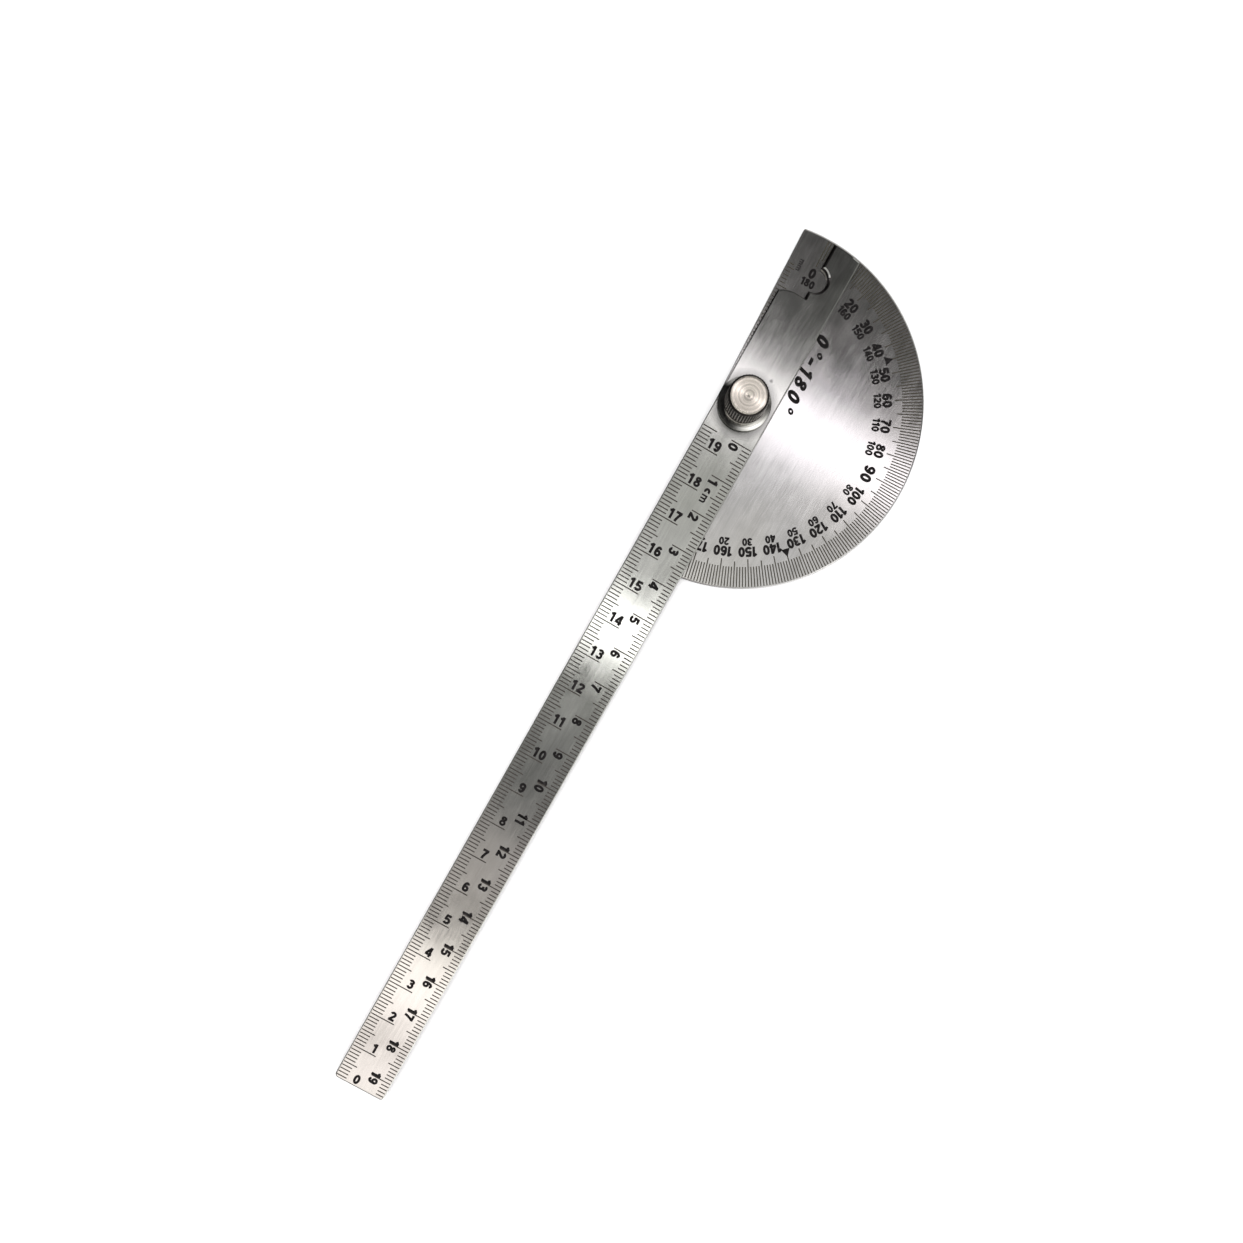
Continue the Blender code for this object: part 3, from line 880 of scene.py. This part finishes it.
def build_object():
    """Marks, finishes, knob and stud, each on its body."""
    glyphs = make_glyphs()
    ink = scale_ink("black_fill", color=(0.006, 0.005, 0.005), worn=(0.05, 0.045, 0.045))
    lines = scale_ink("line_fill", color=(0.040, 0.035, 0.030), worn=(0.11, 0.10, 0.09))
    fine_lines = scale_ink("fine_line_fill", color=(0.038, 0.034, 0.026), worn=(0.10, 0.09, 0.075))
    dress_sheets_and_washers()

    for piece in make_left_scale(lines, ink, glyphs) + make_right_scale(lines, ink, glyphs):
        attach(piece, "arm")

    head_marks = [make_degree_lines(fine_lines), *make_degree_numbers(ink, glyphs),
                  make_pointers(ink), *make_edge_scale(fine_lines, ink, glyphs),
                  make_range_mark(ink, glyphs)]
    for piece in head_marks:
        piece.data.transform(Matrix.Rotation(REST_READING, 4, "Z"))
        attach(piece, "head")

    knob = make_knob(knob_materials())
    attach(knob, "knob")
    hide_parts("lock_knob")

    stud = make_stud(turned_metal("stud_turned_steel", color=(0.55, 0.55, 0.55), roughness=0.33,
                                  anisotropy=0.4, ring_size=0.0002))
    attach(stud, "head")
    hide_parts("pivot_stud")

    for glyph in glyphs.values():
        bpy.data.meshes.remove(glyph)


# --- studio, in metres ------------------------------------------------------------------
CAMERA_PLACE = (0.05981, 0.00071, 0.28261)
CAMERA_TARGET = (0.08133, 0.01829, 0.003)
CAMERA_ROLL = 119.575               # degrees, from +Y up
CAMERA_SHIFT = (-0.02, 0.08)
LENS = 31.6                         # millimetres, as is the sensor
SENSOR = 36
SOFTBOX_HEIGHT = 0.300              # above the steel
SOFTBOX_DEPTH = 0.42                # across the arm
SOFTBOXES = (                       # from and to in millimetres along the steel, radiance, colour
    ("softbox_far_left", -10.7, 4.5, 2.3, (0.98, 0.94, 1)),
    ("softbox_left", 4.5, 30, 0.39),
    ("softbox_left_inner", 30, 54, 0.51),
    ("softbox_middle", 57, 71.8, 3.3),
    ("softbox_gap", 78, 98, 0.17),
    ("softbox_gap_inner", 98, 125, 0.07),
    ("softbox_right", 125, 151, 0.44, (1, 0.91, 0.91)),
    ("softbox_far_right", 159.3, 183, 1.9, (1, 0.92, 0.92)),
    ("softbox_end", 183, 194, 0.82, (1, 0.89, 0.89)),
    ("softbox_tip", 194, 215, 1.6, (1, 0.91, 0.91)),
)
ROOM_LEVEL = 1.25                   # of the even white room
FLOOR_MIDDLE = (0.06, 0, 0)
FLOOR_HALF = 4.0

# The room that the metal mirrors, as levels over how far a direction points up (0 to 1) or
# toward an azimuth (-1 to 1); azimuths in degrees, from +X.
MIRRORED_HEIGHT = ((0.0, 0.01), (0.06, 0.03), (0.35, 0.05), (0.6, 0.25), (0.86, 0.25),
                   (0.93, 0.05), (0.965, 0.105))
BACK_AZIMUTH = 180.0                # toward it, only a share of that is left
MIRRORED_BACK = ((0.22, 1.0), (0.36, 0.3))
WINDOW_AZIMUTH = 62.0
MIRRORED_WINDOW = ((0.3, 0.0), (0.5, 0.08), (0.66, 0.35), (0.76, 0.8), (0.88, 1.7),
                   (0.96, 2.4), (1.0, 2.6))
WALL_AZIMUTH = 185.0
MIRRORED_WALL = ((0.5, 0.0), (0.68, 0.5), (1.0, 0.65))


def make_camera():
    """The photo's camera."""
    data = bpy.data.cameras.new("camera")
    data.lens = LENS
    data.sensor_width = SENSOR
    data.shift_x, data.shift_y = CAMERA_SHIFT
    data.clip_start = 0.01
    camera = bpy.data.objects.new("camera", data)
    bpy.context.scene.collection.objects.link(camera)
    forward = (Vector(CAMERA_TARGET) - Vector(CAMERA_PLACE)).normalized()
    right = forward.cross(Vector((0, 1, 0))).normalized()
    upright = right.cross(forward)
    roll = math.radians(CAMERA_ROLL)
    side = right * math.cos(roll) + upright * math.sin(roll)
    basis = Matrix((side, (-forward).cross(side), -forward)).transposed()
    camera.matrix_world = Matrix.Translation(CAMERA_PLACE) @ basis.to_4x4()
    bpy.context.scene.camera = camera


def softbox(name, first, last, radiance, color=(1, 1, 1)):
    """Long softbox across the arm, seen mirrored in the steel between two places along +X."""
    plate = HEAD_TOP * MM
    spread = 1 + SOFTBOX_HEIGHT / (CAMERA_PLACE[2] - plate)
    low, high = (CAMERA_PLACE[0] + (x * MM - CAMERA_PLACE[0]) * spread for x in (first, last))
    data = bpy.data.lights.new(name, "AREA")
    data.shape = "RECTANGLE"
    data.size = high - low
    data.size_y = SOFTBOX_DEPTH
    data.energy = radiance * math.pi * data.size * data.size_y
    data.color = color
    light = bpy.data.objects.new(name, data)
    light.location = ((low + high) / 2, 0, plate + SOFTBOX_HEIGHT)
    light.visible_camera = False
    bpy.context.scene.collection.objects.link(light)


def level_ramp(tree, value, stops):
    """Grey ramp over a value, from (position, level) stops."""
    ramp = tree.nodes.new("ShaderNodeValToRGB")
    elements = ramp.color_ramp.elements
    while len(elements) < len(stops):
        elements.new(0.5)
    for element, (position, level) in zip(elements, stops):
        element.position = position
        element.color = (level, level, level, 1)
    tree.links.new(value, ramp.inputs["Fac"])
    return ramp.outputs["Color"]


def toward(tree, place, azimuth):
    """How far a direction points toward an azimuth, from -1 to 1."""
    node = tree.nodes.new("ShaderNodeVectorMath")
    node.operation = "DOT_PRODUCT"
    azimuth = math.radians(azimuth)
    node.inputs[1].default_value = (math.cos(azimuth), math.sin(azimuth), 0)
    tree.links.new(place.outputs["Generated"], node.inputs[0])
    return node.outputs["Value"]


def blend(tree, operation, first, second):
    """Two colours multiplied or added."""
    node = tree.nodes.new("ShaderNodeMix")
    node.data_type = "RGBA"
    node.blend_type = operation
    node.inputs["Factor"].default_value = 1.0
    tree.links.new(first, node.inputs[6])
    tree.links.new(second, node.inputs[7])
    return node.outputs[2]


def make_world():
    """Even white room; the metal mirrors a dim one, with a window and a pale wall."""
    world = bpy.data.worlds.new("studio")
    world.use_nodes = True
    tree = world.node_tree
    tree.nodes.clear()
    output = tree.nodes.new("ShaderNodeOutputWorld")
    room = tree.nodes.new("ShaderNodeBackground")
    room.inputs["Color"].default_value = (1, 1, 1, 1)
    room.inputs["Strength"].default_value = ROOM_LEVEL
    mirrored = tree.nodes.new("ShaderNodeBackground")
    place = tree.nodes.new("ShaderNodeTexCoord")
    split = tree.nodes.new("ShaderNodeSeparateXYZ")
    tree.links.new(place.outputs["Generated"], split.inputs["Vector"])
    height = level_ramp(tree, split.outputs["Z"], MIRRORED_HEIGHT)
    back = level_ramp(tree, toward(tree, place, BACK_AZIMUTH), MIRRORED_BACK)
    height = blend(tree, "MULTIPLY", height, back)
    window = level_ramp(tree, toward(tree, place, WINDOW_AZIMUTH), MIRRORED_WINDOW)
    wall = level_ramp(tree, toward(tree, place, WALL_AZIMUTH), MIRRORED_WALL)
    lit = blend(tree, "ADD", height, blend(tree, "ADD", window, wall))
    tree.links.new(lit, mirrored.inputs["Color"])
    path = tree.nodes.new("ShaderNodeLightPath")
    mix = tree.nodes.new("ShaderNodeMixShader")
    tree.links.new(path.outputs["Is Glossy Ray"], mix.inputs["Fac"])
    tree.links.new(room.outputs["Background"], mix.inputs[1])
    tree.links.new(mirrored.outputs["Background"], mix.inputs[2])
    tree.links.new(mix.outputs["Shader"], output.inputs["Surface"])
    bpy.context.scene.world = world


def make_floor():
    """Pale paper under the object, left out of what the metal mirrors."""
    m = Nodes("floor_paper")
    fibre = m.noise((900, 900, 900), 3.0)
    m.wire(m.mix(m.span(fibre, 0.3, 0.7, 0, 1), (0.90, 0.90, 0.90), (0.93, 0.93, 0.93)),
           m.shader.inputs["Base Color"])
    m.shader.inputs["Roughness"].default_value = 0.9
    m.shader.inputs["Specular IOR Level"].default_value = 0.0
    bm = bmesh.new()
    bmesh.ops.create_grid(bm, x_segments=4, y_segments=4, size=FLOOR_HALF)
    floor = link("floor", bm, [m.material], 1.0)
    floor.location = FLOOR_MIDDLE
    floor.visible_glossy = False


build_object()
make_floor()
make_world()
for row in SOFTBOXES:
    softbox(*row)
make_camera()
bpy.context.scene.view_settings.view_transform = "Standard"
